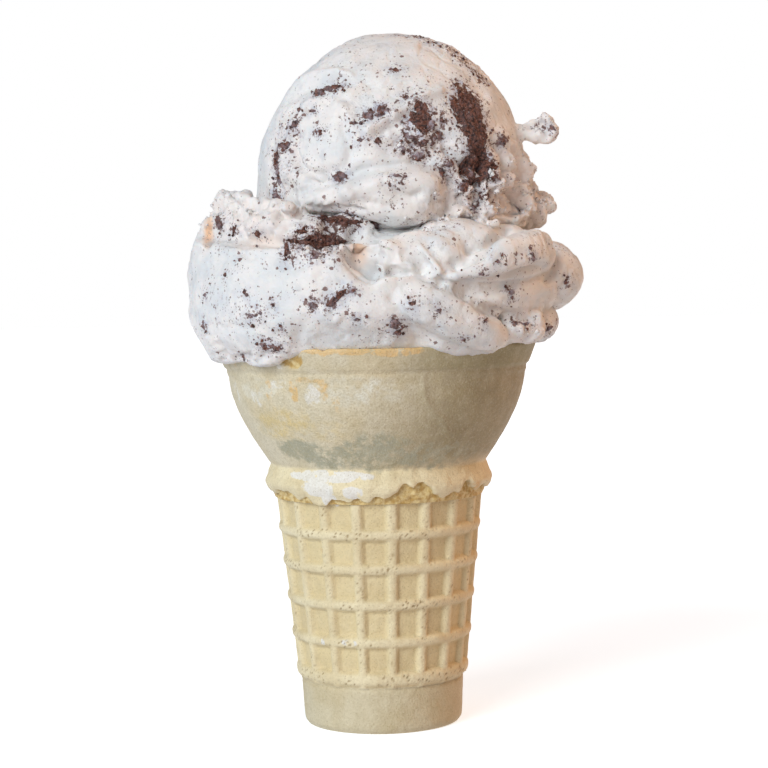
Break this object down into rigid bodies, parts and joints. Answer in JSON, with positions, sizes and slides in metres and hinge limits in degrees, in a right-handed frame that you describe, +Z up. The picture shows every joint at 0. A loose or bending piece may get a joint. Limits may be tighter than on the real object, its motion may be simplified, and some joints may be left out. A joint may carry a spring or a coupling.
{
  "type": "ice cream cone",
  "caption": "Flat-bottomed wafer cone with a waffle grid, holding stacked scoops of pale ice cream flecked with dark cookie pieces.",
  "frame": {"origin": "middle of the foot's flat underside", "axes": "+Z up along the cone's axis, -Y towards the shown front, +X to the right of the front"},
  "size_m": [0.0817, 0.0779, 0.1442],
  "materials": {
    "wafer": "matte baked wafer",
    "ice_cream": "satin frozen cream, slightly wet",
    "cookie": "matte crumbly dark cookie"
  },
  "bodies": {
    "root": {"wafer_cone": "wafer", "lower_scoop": "ice_cream", "upper_scoop": "ice_cream", "cookie_chunk_dome": "cookie", "cookie_chunk_brow": "cookie", "cookie_chunk_ledge": "cookie", "cookie_chunk_seam": "cookie"}
  },
  "joints": []
}
